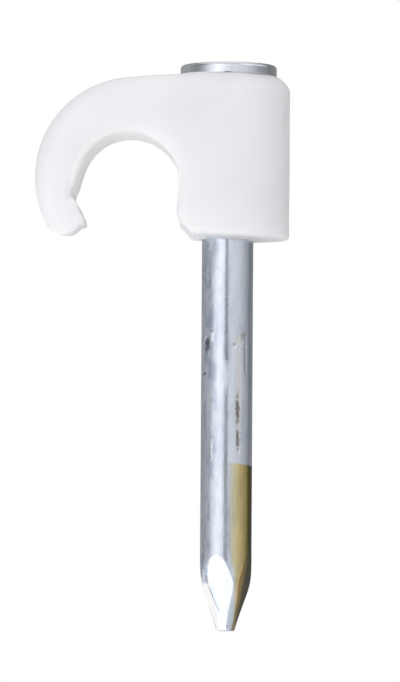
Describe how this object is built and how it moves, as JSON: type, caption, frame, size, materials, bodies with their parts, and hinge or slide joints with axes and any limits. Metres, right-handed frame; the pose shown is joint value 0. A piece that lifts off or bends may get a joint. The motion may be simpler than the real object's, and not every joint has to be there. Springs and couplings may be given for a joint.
{
  "type": "nail-in cable clip",
  "caption": "White plastic hook-shaped clip that presses one round cable to a wall, with its own flat-headed zinc-plated nail through the boss.",
  "frame": {"origin": "the nail's axis in the plane of the wall, which is the clip's foot", "axes": "+Z from the wall along the nail to its head, +Y along the cable, -X from the nail towards the cable"},
  "size_m": [0.0098, 0.0048, 0.022],
  "materials": {
    "white_plastic": "satin moulded white, faintly cool",
    "zinc_steel": "bright zinc plate with light wear"
  },
  "bodies": {
    "root": {"clip_body": "white_plastic", "nail": "zinc_steel"}
  },
  "joints": []
}
